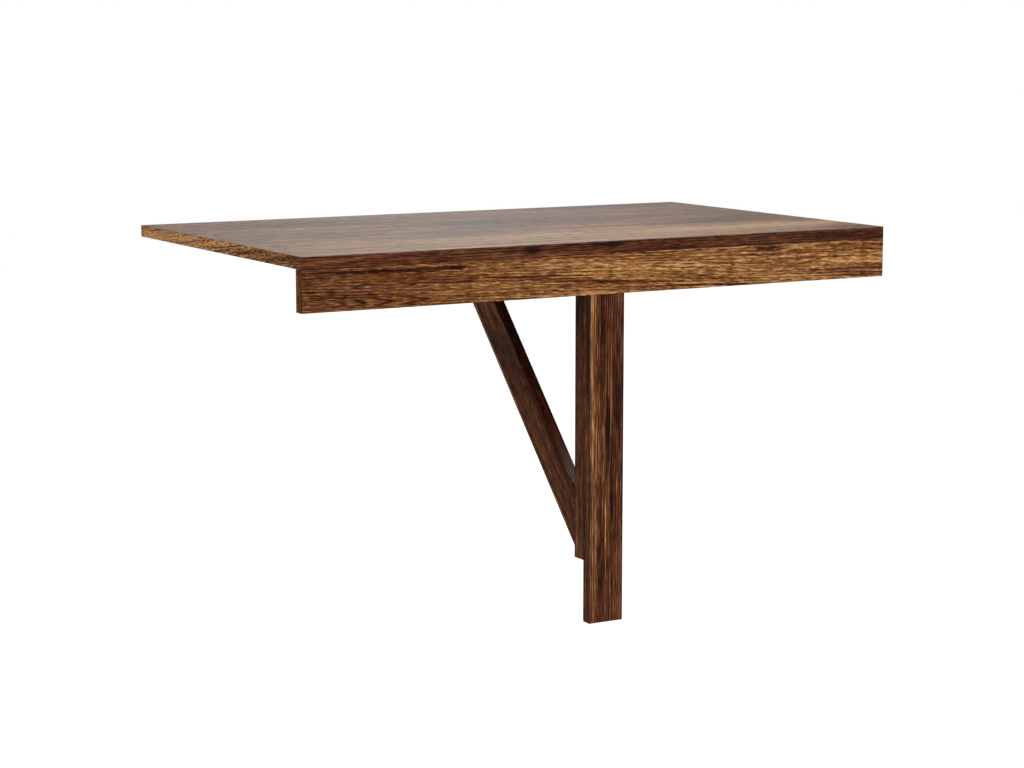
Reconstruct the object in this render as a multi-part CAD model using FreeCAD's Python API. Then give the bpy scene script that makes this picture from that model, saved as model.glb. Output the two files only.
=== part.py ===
"""Wall mounted drop leaf table with a swinging gate bracket, in millimetres.

Frame: the origin is the middle of the wall rail's wall face. +X runs along the wall, +Y into
the room and +Z up. The pieces stand as in use: leaf level, bracket swung out under it.
"""
import FreeCAD
import Part

import math
import os

# Boards
TABLE_LENGTH = 1000.0
TABLE_DEPTH = 600.0
BOARD = 18.0
EDGE_EASE = 0.4
RAIL_HEIGHT = 60.0
POST_WIDTH = 58.0
POST_HEIGHT = 493.0
POST_OFFSET = -8.0

# Gate bracket
MEMBER_WIDTH = 58.0
UPRIGHT_LENGTH = 461.0
BRACE_ANGLE = 46.6
BRACE_FOOT = 18.5
ARM_OVERHANG = 18.0

# Glide on the arm's tip
GLIDE_LENGTH = 40.0
GLIDE_INSET = 4.0
GLIDE_EDGE = 1.5
SPIGOT_DIAMETER = 6.0
SPIGOT_LENGTH = 12.0

# Butt hinges
KNUCKLE_DIAMETER = 6.0
PIN_DIAMETER = 3.0
PLATE_THICKNESS = 1.5
PLATE_WIDTH = 15.0
PLATE_CORNER = 1.5
HOLE_OFFSET = 9.5
LEAF_HINGE_LENGTH = 80.0
LEAF_HINGE_INSET = 180.0
LEAF_HINGE_COUNT = 3
LEAF_HINGE_HOLES = 3
BRACKET_HINGE_LENGTH = 60.0
BRACKET_HINGE_HOLES = 2
BRACKET_HINGE_INSET = 65.0
HOLE_EDGE = 10.0

# Countersunk hinge screws
SCREW_DIAMETER = 3.0
SCREW_HEAD_DIAMETER = 6.0
SCREW_LENGTH = 15.0
SCREW_TIP = 2.5
SCREW_POINT_DIAMETER = 0.8

# Dowels
DOWEL_DIAMETER = 8.0
DOWEL_LENGTH = 36.0
DOWEL_CHAMFER = 1.0
SHELF_DOWEL_LENGTH = 28.0
SHELF_DOWEL_DEPTH = 12.0
SHELF_DOWEL_INSET = 60.0
SHELF_DOWEL_COUNT = 5
POST_DOWEL_PITCH = 30.0
ARM_DOWEL_PITCH = 28.0
BRACE_DOWEL_START = 30.0
BRACE_DOWEL_PITCH = 26.0

# Holes for the wall screws, drilled from the room side
WALL_HOLE_DIAMETER = 5.0
WALL_HOLE_SINK = 10.0
WALL_HOLE_SKIN = 1.5
RAIL_HOLE_INSET = 50.0
RAIL_HOLE_COUNT = 4
POST_HOLE_TOP = 140.0
POST_HOLE_PITCH = 300.0

# Clearances
BODY_GAP = 0.3
SEAM = 0.8
KNUCKLE_GAP = 0.3
NOTCH_GAP = 0.5
PIN_FIT = 0.04
GLUE_FIT = 0.05
BORE_SPARE = 0.5
HINGE_PASS = 0.5

# Flat sides that stand for the round of dowels, hinge screws and their holes
SMALL_SIDES = 10

# Places that follow from the sizes
HALF_LENGTH = TABLE_LENGTH / 2
RAIL_TOP = RAIL_HEIGHT / 2
RAIL_BOTTOM = -RAIL_HEIGHT / 2
TOP_SURFACE = RAIL_TOP + BOARD
KNUCKLE_RADIUS = KNUCKLE_DIAMETER / 2
PIN_OFFSET = KNUCKLE_RADIUS + BODY_GAP
HINGE_LINE_Y = BOARD + 2 * PIN_OFFSET + BOARD
BRACKET_LEFT = POST_OFFSET - BOARD / 2
BRACKET_RIGHT = POST_OFFSET + BOARD / 2
PIVOT_X = BRACKET_RIGHT + PIN_OFFSET
PIVOT_Y = BOARD + PIN_OFFSET
POST_BOTTOM = RAIL_BOTTOM - POST_HEIGHT
REAR_Y = BOARD + BODY_GAP
FRONT_Y = REAR_Y + MEMBER_WIDTH
BRACKET_TOP = RAIL_TOP - PIN_OFFSET - KNUCKLE_RADIUS - HINGE_PASS
ARM_BOTTOM = BRACKET_TOP - MEMBER_WIDTH
UPRIGHT_BOTTOM = BRACKET_TOP - UPRIGHT_LENGTH
BRACE_FOOT_Z = UPRIGHT_BOTTOM + BRACE_FOOT
BRACE_SLOPE = math.tan(math.radians(BRACE_ANGLE))
BRACE_OUTER_Y = FRONT_Y + (ARM_BOTTOM - BRACE_FOOT_Z) / BRACE_SLOPE
ARM_TIP_Y = BRACE_OUTER_Y + ARM_OVERHANG
GLIDE_THICKNESS = RAIL_TOP - BODY_GAP - BRACKET_TOP
GLIDE_MIDDLE_Y = ARM_TIP_Y - GLIDE_INSET - GLIDE_LENGTH / 2
BRACKET_HINGE_TOP = RAIL_BOTTOM - BRACKET_HINGE_INSET
BRACKET_HINGE_LOW = UPRIGHT_BOTTOM + BRACKET_HINGE_INSET

X_AXIS = FreeCAD.Vector(1, 0, 0)
Y_AXIS = FreeCAD.Vector(0, 1, 0)
Z_AXIS = FreeCAD.Vector(0, 0, 1)


def spread(count, pitch):
    """Places of count things a pitch apart, centred on zero."""
    return [(i - (count - 1) / 2) * pitch for i in range(count)]


def spread_along(count, inset):
    """Places of count things along the table, the outer ones an inset from its ends."""
    return spread(count, (TABLE_LENGTH - 2 * inset) / (count - 1))


def eased(shape):
    """A board with every edge lightly eased."""
    return shape.makeChamfer(EDGE_EASE, shape.Edges)


def board(low, high):
    """A rectangular board between two corners."""
    size = high - low
    return eased(Part.makeBox(size.x, size.y, size.z, low))


def turned(points, place, axis):
    """A turned solid whose outline points are (radius, height) along axis from place."""
    outline = [FreeCAD.Vector(r, 0, h) for r, h in points]
    face = Part.Face(Part.makePolygon(outline + [outline[0]]))
    solid = face.revolve(FreeCAD.Vector(0, 0, 0), Z_AXIS, 360)
    solid.Placement = FreeCAD.Placement(place, FreeCAD.Rotation(Z_AXIS, axis))
    return solid


def flat_sided(rings, place, axis):
    """A small round solid with flat sides, through rings of (radius, height) along axis."""
    turn = FreeCAD.Rotation(Z_AXIS, axis)
    loops = []
    for radius, height in rings:
        loop = []
        for i in range(SMALL_SIDES):
            angle = 2 * math.pi * i / SMALL_SIDES
            point = FreeCAD.Vector(radius * math.cos(angle), radius * math.sin(angle), height)
            loop.append(place + turn.multVec(point))
        loops.append(loop + loop[:1])
    faces = [Part.Face(Part.makePolygon(loop)) for loop in (loops[0], loops[-1])]
    for low, high in zip(loops, loops[1:]):
        for i in range(SMALL_SIDES):
            side = [low[i], low[i + 1], high[i + 1], high[i], low[i]]
            faces.append(Part.Face(Part.makePolygon(side)))
    shell = Part.makeShell(faces)
    shell.sewShape()
    solid = Part.makeSolid(shell)
    return solid if solid.Volume > 0 else solid.reversed()


# Dowels: a joint is (middle of the joint, axis, dowel's length ahead of it, and behind it).

def dowel(joint):
    """A wooden dowel with chamfered ends."""
    place, axis, ahead, behind = joint
    r = DOWEL_DIAMETER / 2
    c = DOWEL_CHAMFER
    rings = [(r - c, -behind), (r, c - behind), (r, ahead - c), (r - c, ahead)]
    return flat_sided(rings, place, axis)


def dowel_bore(joint):
    """The bores for a dowel in both boards of its joint."""
    place, axis, ahead, behind = joint
    r = DOWEL_DIAMETER / 2 + GLUE_FIT
    return flat_sided([(r, -behind - BORE_SPARE), (r, ahead + BORE_SPARE)], place, axis)


def shelf_joints():
    """Dowels that stand in the rail's top edge and hold the shelf."""
    behind = SHELF_DOWEL_LENGTH - SHELF_DOWEL_DEPTH
    return [
        (FreeCAD.Vector(x, BOARD / 2, RAIL_TOP), Z_AXIS, SHELF_DOWEL_DEPTH, behind)
        for x in spread_along(SHELF_DOWEL_COUNT, SHELF_DOWEL_INSET)
    ]


def post_joints():
    """Dowels between the rail's bottom edge and the post's top end."""
    half = DOWEL_LENGTH / 2
    return [
        (FreeCAD.Vector(POST_OFFSET + x, BOARD / 2, RAIL_BOTTOM), Z_AXIS, half, half)
        for x in spread(2, POST_DOWEL_PITCH)
    ]


def arm_joints():
    """Dowels between the upright's front edge and the arm's end."""
    half = DOWEL_LENGTH / 2
    middle = BRACKET_TOP - MEMBER_WIDTH / 2
    return [
        (FreeCAD.Vector(POST_OFFSET, FRONT_Y, middle + z), Y_AXIS, half, half)
        for z in spread(2, ARM_DOWEL_PITCH)
    ]


def brace_foot_joints():
    """Dowels between the upright's front edge and the brace's lower end."""
    half = DOWEL_LENGTH / 2
    start = BRACE_FOOT_Z + BRACE_DOWEL_START
    return [
        (FreeCAD.Vector(POST_OFFSET, FRONT_Y, start + i * BRACE_DOWEL_PITCH), Y_AXIS, half, half)
        for i in range(2)
    ]


def brace_head_joints():
    """Dowels between the arm's underside and the brace's upper end."""
    half = DOWEL_LENGTH / 2
    start = BRACE_OUTER_Y - BRACE_DOWEL_START
    return [
        (FreeCAD.Vector(POST_OFFSET, start - i * BRACE_DOWEL_PITCH, ARM_BOTTOM), Z_AXIS, half, half)
        for i in range(2)
    ]


# Butt hinges, in their own frame: the pin lies on Z, the fixed plate runs to +X and the moving
# plate to -X, and both bear on the face at -Y. The barrel stands a little off that face.

def leaf_hinge_places():
    """The leaf's hinges: fixed plate to the wall side, bearing faces up."""
    turn = FreeCAD.Rotation(-Y_AXIS, -Z_AXIS, X_AXIS, "XYZ")
    height = RAIL_TOP - PIN_OFFSET
    return [
        FreeCAD.Placement(FreeCAD.Vector(x, HINGE_LINE_Y, height), turn)
        for x in spread_along(LEAF_HINGE_COUNT, LEAF_HINGE_INSET)
    ]


def bracket_hinge_places():
    """The bracket's hinges, upper and lower, in the corner of post and upright."""
    return [
        FreeCAD.Placement(FreeCAD.Vector(PIVOT_X, PIVOT_Y, z), FreeCAD.Rotation())
        for z in (BRACKET_HINGE_TOP, BRACKET_HINGE_LOW)
    ]


QUARTER_TURN = FreeCAD.Placement(FreeCAD.Vector(0, 0, 0), FreeCAD.Rotation(Z_AXIS, -90))
FLAT = FreeCAD.Placement()


def screw_rings(extra):
    """The rings of a countersunk screw, or with extra, of its straight hole."""
    r = SCREW_DIAMETER / 2 + extra
    head = SCREW_HEAD_DIAMETER / 2 + extra
    neck = [(head, 0), (r, r - head)]
    if extra:
        return neck + [(r, -SCREW_LENGTH - extra)]
    return neck + [(r, SCREW_TIP - SCREW_LENGTH), (SCREW_POINT_DIAMETER / 2, -SCREW_LENGTH)]


def plate_holes(length, count, side):
    """Where the screws of one plate stand, as points on its outer face."""
    pitch = (length - 2 * HOLE_EDGE) / (count - 1)
    height = PLATE_THICKNESS - PIN_OFFSET
    return [FreeCAD.Vector(side * HOLE_OFFSET, height, z) for z in spread(count, pitch)]


def screws(length, count, side, extra):
    """The screws of one plate, or with extra, the holes for them."""
    points = plate_holes(length, count, side)
    return [flat_sided(screw_rings(extra), p, Y_AXIS) for p in points]


def hinge_plate(length, count, side):
    """A hinge plate with its knuckles: two outer ones on the fixed side, one on the other."""
    low = FreeCAD.Vector(0, -PIN_OFFSET, -length / 2)
    plate = Part.makeBox(PLATE_WIDTH, PLATE_THICKNESS, length, low)
    corners = [
        e for e in plate.Edges
        if abs(e.CenterOfMass.x - PLATE_WIDTH) < 1e-6 and abs(e.CenterOfMass.z) > length / 2 - 1e-6
    ]
    plate = plate.makeChamfer(PLATE_CORNER, corners)
    third = length / 3
    starts = [-length / 2, length / 6] if side > 0 else [-length / 6]
    barrel = [
        Part.makeCylinder(KNUCKLE_RADIUS, third, FreeCAD.Vector(0, 0, z), Z_AXIS) for z in starts
    ]
    plate = plate.fuse(barrel).removeSplitter()
    reach = PIN_OFFSET + NOTCH_GAP
    other = [-length / 6] if side > 0 else [-length / 2, length / 6]
    tools = []
    for z in other:
        foot = FreeCAD.Vector(-reach, -reach, z - KNUCKLE_GAP / 2)
        tools.append(Part.makeBox(2 * reach, 2 * reach, third + KNUCKLE_GAP, foot))
    hole = PIN_DIAMETER / 2 + PIN_FIT
    tools.append(Part.makeCylinder(hole, length, FreeCAD.Vector(0, 0, -length / 2), Z_AXIS))
    tools.extend(screws(length, count, 1, GLUE_FIT))
    plate = plate.cut(tools)
    if side < 0:
        plate = plate.mirror(FreeCAD.Vector(0, 0, 0), X_AXIS)
    return plate


def hinge_pin(length):
    """A hinge pin, a little shorter than its barrel."""
    half = length / 2 - KNUCKLE_GAP
    return Part.makeCylinder(PIN_DIAMETER / 2, 2 * half, FreeCAD.Vector(0, 0, -half), Z_AXIS)


def placed(shape, place, turn):
    """A shape of the hinge's own frame, turned about the pin and set in its place."""
    result = shape.copy()
    result.Placement = place.multiply(turn).multiply(shape.Placement)
    return result


def placed_screws(places, length, count, side, turn, extra):
    """The screws of the same plate on every hinge, or with extra, their holes."""
    return [placed(s, p, turn) for p in places for s in screws(length, count, side, extra)]


def shelf_screws(extra):
    """Screws of the leaf hinges' fixed plates."""
    return placed_screws(leaf_hinge_places(), LEAF_HINGE_LENGTH, LEAF_HINGE_HOLES, 1, FLAT, extra)


def leaf_screws(extra):
    """Screws of the leaf hinges' moving plates."""
    return placed_screws(leaf_hinge_places(), LEAF_HINGE_LENGTH, LEAF_HINGE_HOLES, -1, FLAT, extra)


def post_screws(extra):
    """Screws of the bracket hinges' fixed plates."""
    places = bracket_hinge_places()
    return placed_screws(places, BRACKET_HINGE_LENGTH, BRACKET_HINGE_HOLES, 1, FLAT, extra)


def upright_screws(extra):
    """Screws of the bracket hinges' moving plates."""
    places = bracket_hinge_places()
    return placed_screws(
        places, BRACKET_HINGE_LENGTH, BRACKET_HINGE_HOLES, -1, QUARTER_TURN, extra
    )


# Boards fixed to the wall

def wall_hole(x, z):
    """A countersunk hole from the room side that leaves a thin skin at the wall face."""
    r = WALL_HOLE_DIAMETER / 2
    sink = WALL_HOLE_SINK / 2
    depth = BOARD - WALL_HOLE_SKIN
    points = [(0, 0), (sink, 0), (r, r - sink), (r, -depth), (0, -depth)]
    return turned(points, FreeCAD.Vector(x, BOARD, z), Y_AXIS)


def wall_rail():
    """The rail under the shelf, screwed to the wall."""
    low = FreeCAD.Vector(-HALF_LENGTH, 0, RAIL_BOTTOM)
    high = FreeCAD.Vector(HALF_LENGTH, BOARD, RAIL_TOP)
    tools = [dowel_bore(j) for j in shelf_joints() + post_joints()]
    tools += [wall_hole(x, 0) for x in spread_along(RAIL_HOLE_COUNT, RAIL_HOLE_INSET)]
    return board(low, high).cut(tools)


def wall_post():
    """The post under the rail that carries the bracket."""
    low = FreeCAD.Vector(POST_OFFSET - POST_WIDTH / 2, 0, POST_BOTTOM)
    high = FreeCAD.Vector(POST_OFFSET + POST_WIDTH / 2, BOARD, RAIL_BOTTOM)
    first = RAIL_BOTTOM - POST_HOLE_TOP
    tools = [dowel_bore(j) for j in post_joints()]
    tools += [wall_hole(POST_OFFSET, first - i * POST_HOLE_PITCH) for i in range(2)]
    tools += post_screws(GLUE_FIT)
    return board(low, high).cut(tools)


def fixed_shelf():
    """The strip of top that stays on the wall and carries the leaf."""
    low = FreeCAD.Vector(-HALF_LENGTH, 0, RAIL_TOP)
    high = FreeCAD.Vector(HALF_LENGTH, HINGE_LINE_Y - SEAM / 2, TOP_SURFACE)
    tools = [dowel_bore(j) for j in shelf_joints()] + shelf_screws(GLUE_FIT)
    return board(low, high).cut(tools)


def drop_leaf():
    """The leaf."""
    low = FreeCAD.Vector(-HALF_LENGTH, HINGE_LINE_Y + SEAM / 2, RAIL_TOP)
    high = FreeCAD.Vector(HALF_LENGTH, TABLE_DEPTH, TOP_SURFACE)
    return board(low, high).cut(leaf_screws(GLUE_FIT))


# Gate bracket

def bracket_upright():
    """The upright that turns on the post."""
    low = FreeCAD.Vector(BRACKET_LEFT, REAR_Y, UPRIGHT_BOTTOM)
    high = FreeCAD.Vector(BRACKET_RIGHT, FRONT_Y, BRACKET_TOP)
    tools = [dowel_bore(j) for j in arm_joints() + brace_foot_joints()]
    return board(low, high).cut(tools + upright_screws(GLUE_FIT))


def bracket_arm():
    """The level arm under the leaf, with a bore for the glide's spigot."""
    low = FreeCAD.Vector(BRACKET_LEFT, FRONT_Y, ARM_BOTTOM)
    high = FreeCAD.Vector(BRACKET_RIGHT, ARM_TIP_Y, BRACKET_TOP)
    tools = [dowel_bore(j) for j in arm_joints() + brace_head_joints()]
    foot = FreeCAD.Vector(POST_OFFSET, GLIDE_MIDDLE_Y, BRACKET_TOP)
    r = SPIGOT_DIAMETER / 2 + GLUE_FIT
    tools.append(flat_sided([(r, -SPIGOT_LENGTH - BORE_SPARE), (r, BORE_SPARE)], foot, Z_AXIS))
    return board(low, high).cut(tools)


def bracket_brace():
    """The slanted brace, cut square to the upright and to the arm."""
    wide = MEMBER_WIDTH / math.cos(math.radians(BRACE_ANGLE))
    high = MEMBER_WIDTH / math.sin(math.radians(BRACE_ANGLE))
    outline = [
        FreeCAD.Vector(BRACKET_LEFT, FRONT_Y, BRACE_FOOT_Z),
        FreeCAD.Vector(BRACKET_LEFT, FRONT_Y, BRACE_FOOT_Z + wide),
        FreeCAD.Vector(BRACKET_LEFT, BRACE_OUTER_Y - high, ARM_BOTTOM),
        FreeCAD.Vector(BRACKET_LEFT, BRACE_OUTER_Y, ARM_BOTTOM),
    ]
    face = Part.Face(Part.makePolygon(outline + [outline[0]]))
    tools = [dowel_bore(j) for j in brace_foot_joints() + brace_head_joints()]
    return eased(face.extrude(X_AXIS * BOARD)).cut(tools)


def arm_glide():
    """The hard pad on the arm's tip that the leaf rests on."""
    low = FreeCAD.Vector(BRACKET_LEFT + GLIDE_EDGE, GLIDE_MIDDLE_Y - GLIDE_LENGTH / 2, BRACKET_TOP)
    pad = Part.makeBox(BOARD - 2 * GLIDE_EDGE, GLIDE_LENGTH, GLIDE_THICKNESS, low)
    top = BRACKET_TOP + GLIDE_THICKNESS
    rim = [e for e in pad.Edges if abs(e.CenterOfMass.z - top) < 1e-6]
    pad = pad.makeChamfer(GLIDE_EDGE, rim)
    foot = FreeCAD.Vector(POST_OFFSET, GLIDE_MIDDLE_Y, BRACKET_TOP)
    r = SPIGOT_DIAMETER / 2
    return pad.fuse(flat_sided([(r, -SPIGOT_LENGTH), (r, 0)], foot, Z_AXIS)).removeSplitter()


def hinge_nodes(prefix, names, places, length, count, turn):
    """Fixed plate, moving plate and pin of each hinge, as named nodes."""
    fixed = hinge_plate(length, count, 1)
    moving = hinge_plate(length, count, -1)
    nodes = {}
    for name, place in zip(names, places):
        nodes[f"{prefix}_{name}_fixed_plate"] = placed(fixed, place, FLAT)
        nodes[f"{prefix}_{name}_moving_plate"] = placed(moving, place, turn)
        nodes[f"{prefix}_{name}_pin"] = placed(hinge_pin(length), place, FLAT)
    return nodes


def all_nodes():
    """Every piece by its node's name."""
    bracket_joints = arm_joints() + brace_foot_joints() + brace_head_joints()
    nodes = {
        "wall_rail": wall_rail(),
        "wall_post": wall_post(),
        "fixed_shelf": fixed_shelf(),
        "drop_leaf": drop_leaf(),
        "bracket_upright": bracket_upright(),
        "bracket_arm": bracket_arm(),
        "bracket_brace": bracket_brace(),
        "arm_glide": arm_glide(),
        "shelf_dowels": Part.makeCompound([dowel(j) for j in shelf_joints()]),
        "post_dowels": Part.makeCompound([dowel(j) for j in post_joints()]),
        "bracket_dowels": Part.makeCompound([dowel(j) for j in bracket_joints]),
        "leaf_hinge_shelf_screws": Part.makeCompound(shelf_screws(0)),
        "leaf_hinge_leaf_screws": Part.makeCompound(leaf_screws(0)),
        "bracket_hinge_post_screws": Part.makeCompound(post_screws(0)),
        "bracket_hinge_upright_screws": Part.makeCompound(upright_screws(0)),
    }
    places = leaf_hinge_places()
    names = ("left", "middle", "right")
    sizes = (LEAF_HINGE_LENGTH, LEAF_HINGE_HOLES)
    nodes.update(hinge_nodes("leaf_hinge", names, places, *sizes, FLAT))
    places = bracket_hinge_places()
    sizes = (BRACKET_HINGE_LENGTH, BRACKET_HINGE_HOLES)
    nodes.update(hinge_nodes("bracket_hinge", ("upper", "lower"), places, *sizes, QUARTER_TURN))
    return nodes


os.makedirs("parts", exist_ok=True)
for node, shape in all_nodes().items():
    shape.exportStep(f"parts/{node}.step")
    box = shape.BoundBox
    print(
        f"{node:32s} solids {len(shape.Solids):2d} valid {shape.isValid()} "
        f"x {box.XMin:8.2f} {box.XMax:8.2f} y {box.YMin:7.2f} {box.YMax:7.2f} "
        f"z {box.ZMin:8.2f} {box.ZMax:7.2f}"
    )
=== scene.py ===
"""Looks of a wall mounted drop leaf table: its finishes, its screws, the studio and the camera.

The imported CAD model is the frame. Its boards, hinges, pins, dowels and glide keep their meshes
and get their finishes here. The screws are modelled again, with thread and cross recess.
Sizes in the dataclasses are millimetres; Blender's own lengths are metres.
"""

import logging
import math
from collections.abc import Callable, Iterable, Mapping, Sequence
from dataclasses import dataclass, replace
from enum import Enum
from typing import Any, ClassVar

import bmesh
import bpy
from bpy.types import ID, Material, Mesh, Node, NodeSocket, Object, World
from mathutils import Matrix, Vector

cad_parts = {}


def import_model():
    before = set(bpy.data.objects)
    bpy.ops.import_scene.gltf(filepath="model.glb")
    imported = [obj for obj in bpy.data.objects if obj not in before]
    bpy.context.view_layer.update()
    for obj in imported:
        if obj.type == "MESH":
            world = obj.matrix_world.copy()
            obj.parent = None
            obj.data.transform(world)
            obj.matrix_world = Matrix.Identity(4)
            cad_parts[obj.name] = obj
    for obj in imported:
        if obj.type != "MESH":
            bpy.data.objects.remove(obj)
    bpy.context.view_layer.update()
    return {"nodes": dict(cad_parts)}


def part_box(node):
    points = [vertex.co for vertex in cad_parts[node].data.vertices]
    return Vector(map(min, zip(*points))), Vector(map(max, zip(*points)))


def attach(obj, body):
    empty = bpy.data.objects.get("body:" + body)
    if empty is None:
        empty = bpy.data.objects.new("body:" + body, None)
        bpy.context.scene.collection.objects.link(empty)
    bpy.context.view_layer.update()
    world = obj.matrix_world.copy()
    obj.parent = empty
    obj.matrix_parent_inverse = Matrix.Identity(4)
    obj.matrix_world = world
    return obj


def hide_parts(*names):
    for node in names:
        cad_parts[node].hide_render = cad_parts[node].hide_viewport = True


LOG = logging.getLogger("drop_leaf_table")
MM = 0.001

Colour = tuple[float, float, float, float]
Triple = tuple[float, float, float]
Pair = tuple[float, float]

X_AXIS: Triple = (1.0, 0.0, 0.0)
Y_AXIS: Triple = (0.0, 1.0, 0.0)
Z_AXIS: Triple = (0.0, 0.0, 1.0)

# Where the levels of a noise node lie
NOISE_MIDDLE = 0.5
NOISE_REACH: Pair = (0.3, 0.7)


def linear(hex_colour: str) -> Colour:
    """Turns an sRGB hex colour to linear.

    Args:
        hex_colour: Six hex digits, such as "6b4529".

    Returns:
        Linear red, green and blue, and an alpha of 1.
    """
    channels = [int(hex_colour[i : i + 2], 16) / 255 for i in (0, 2, 4)]
    red, green, blue = [
        c / 12.92 if c <= 0.04045 else ((c + 0.055) / 1.055) ** 2.4 for c in channels
    ]
    return (red, green, blue, 1.0)


class Graph:
    """The node tree of one material or world while it is being built."""

    def __init__(self, owner: Material | World) -> None:
        """Empties a tree.

        Args:
            owner: The material or world that has it.
        """
        owner.use_nodes = True
        self.owner = owner
        self.tree = owner.node_tree
        self.tree.nodes.clear()

    @classmethod
    def of_material(cls, name: str) -> "Graph":
        """Starts a new material called name."""
        return cls(bpy.data.materials.new(name))

    def add(
        self, kind: str, inputs: Mapping[int | str, Any] | None = None, **settings: Any
    ) -> Node:
        """Adds a node with its settings and links.

        Args:
            kind: The node's type, without "ShaderNode".
            inputs: What each input gets, by index or name: a value, an output or a node.
            settings: Properties of the node.

        Returns:
            The new node.
        """
        node = self.tree.nodes.new(f"ShaderNode{kind}")
        for key, value in settings.items():
            setattr(node, key, value)
        for key, value in (inputs or {}).items():
            if isinstance(value, Node):
                value = value.outputs[0]
            if isinstance(value, NodeSocket):
                self.tree.links.new(value, node.inputs[key])
            else:
                node.inputs[key].default_value = value
        return node

    def math(self, operation: str, *values: Any, **settings: Any) -> Node:
        """Adds a calculation with numbers and returns its node."""
        return self.add("Math", dict(enumerate(values)), operation=operation, **settings)

    def vector(self, operation: str, *vectors: Any) -> Node:
        """Adds a calculation with vectors and returns its node."""
        return self.add("VectorMath", dict(enumerate(vectors)), operation=operation)

    def measure(self, operation: str, *vectors: Any) -> NodeSocket:
        """Adds a calculation that makes one number of vectors, and returns that number."""
        return self.vector(operation, *vectors).outputs["Value"]

    def millimetres(self) -> Node:
        """Adds the object's own coordinates, in millimetres."""
        metres = self.add("TexCoord").outputs["Object"]
        return self.add("VectorMath", {0: metres, "Scale": 1 / MM}, operation="SCALE")

    def stretched_noise(
        self, vector: Any, size: Triple, detail: float = 2.0, roughness: float = 0.5
    ) -> Node:
        """Adds noise whose grains have a given size.

        Args:
            vector: Coordinates in millimetres.
            size: Length of a grain along each coordinate, in millimetres.
            detail: Octaves of finer noise.
            roughness: Weight of the finer octaves.

        Returns:
            The noise node, whose first output is mostly within NOISE_REACH.
        """
        scaled = self.vector("MULTIPLY", vector, tuple(1 / s for s in size))
        settings = {"Vector": scaled, "Scale": 1.0, "Detail": detail, "Roughness": roughness}
        return self.add("TexNoise", settings)

    def span(
        self, value: Any, edge: Pair, result: Pair = (0.0, 1.0), smooth: bool = False
    ) -> Node:
        """Maps a value's span to another one, clamped.

        Args:
            value: The value.
            edge: Its first and last value in the span.
            result: What the two give.
            smooth: Whether the result starts and ends gently.

        Returns:
            The node.
        """
        limits = {"Value": value, 1: edge[0], 2: edge[1], 3: result[0], 4: result[1]}
        kind = "SMOOTHSTEP" if smooth else "LINEAR"
        return self.add("MapRange", limits, interpolation_type=kind)

    def weighted_sum(self, start: Any, terms: Iterable[tuple[Any, float]]) -> Any:
        """Adds up terms times their weights.

        Args:
            start: The value to start from.
            terms: The terms, each with its weight.

        Returns:
            The last node, or the start if there are no terms.
        """
        total = start
        for term, weight in terms:
            total = self.math("MULTIPLY_ADD", term, weight, total)
        return total

    def varied(self, mean: float, noises: Sequence[tuple[Any, float]]) -> Any:
        """Varies a mean by noises times their weights, and returns the last node."""
        middle = NOISE_MIDDLE * sum(weight for _, weight in noises)
        return self.weighted_sum(mean - middle, noises)

    def ramp(self, value: Any, colours: Sequence[str]) -> Node:
        """Maps a value of 0 to 1 to evenly spaced colours.

        Args:
            value: The value.
            colours: The hex colours.

        Returns:
            The ramp.
        """
        node = self.add("ValToRGB", {0: value})
        elements, last = node.color_ramp.elements, len(colours) - 1
        for i in range(1, last):
            elements.new(i / last)
        for element, colour in zip(elements, colours):
            element.color = linear(colour)
        return node

    def mix_colours(self, share: Any, one: Any, other: Any) -> NodeSocket:
        """Goes from one colour to another by a share of 0 to 1, and returns the colour."""
        return self.add("Mix", {0: share, 6: one, 7: other}, data_type="RGBA").outputs[2]

    def bump(self, height: Any, depth: float, strength: float) -> Node:
        """Adds relief of a depth in millimetres, and returns the node for the normal."""
        return self.add("Bump", {"Strength": strength, "Distance": depth * MM, "Height": height})

    def finish(self, shader: Node) -> Material:
        """Joins the shader to the output and returns the material."""
        self.add("OutputMaterial", {"Surface": shader})
        return self.owner

    def surface(self, inputs: Mapping[str, Any]) -> Material:
        """Finishes with a plain surface that has the given inputs, and returns the material."""
        return self.finish(self.add("BsdfPrincipled", inputs))


class Face(Enum):
    """A board's six faces, as the axis that they look along and its sign."""

    END_START = (0, -1)
    END_FAR = (0, 1)
    EDGE_LOW = (1, -1)
    EDGE_HIGH = (1, 1)
    SIDE_BACK = (2, -1)
    SIDE_FRONT = (2, 1)


@dataclass(frozen=True)
class Oval:
    """A place on one face: its middle, half its length and half its width."""

    face: Face
    u: float
    v: float
    length: float
    width: float


@dataclass(frozen=True)
class Cloud(Oval):
    """A streaky patch of lighter or darker wood; turn is in degrees. One thin cloud along the
    brace's lower edge is a painted highlight.
    """

    tone: float
    turn: float = 0.0


def clouds_on(face: Face, *rows: Sequence[float]) -> tuple[Cloud, ...]:
    """The clouds of one face, each given as u, v, length, width, tone and perhaps turn."""
    return tuple(Cloud(face, *row) for row in rows)


@dataclass(frozen=True)
class Knot(Oval):
    """A small knot that the grain lines flow round; pull is how far they part, 0 to 1."""

    pull: float


@dataclass(frozen=True)
class Arches(Oval):
    """A run of pointed growth-ring arches, each further from the last than that from its own.

    Attributes:
        first_tip: Where the first tip is.
        first_gap: From there to the next tip, negative where the tips look back.
        growth: How much wider each gap is than the one before.
        arm: How far across an arm runs in one gap.
    """

    first_tip: float
    first_gap: float
    growth: float
    arm: float


@dataclass(frozen=True)
class Runout:
    """Grain that slopes down along one face: its fall per millimetre at v = 0 and at height."""

    face: Face
    height: float
    low: float
    high: float


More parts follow.
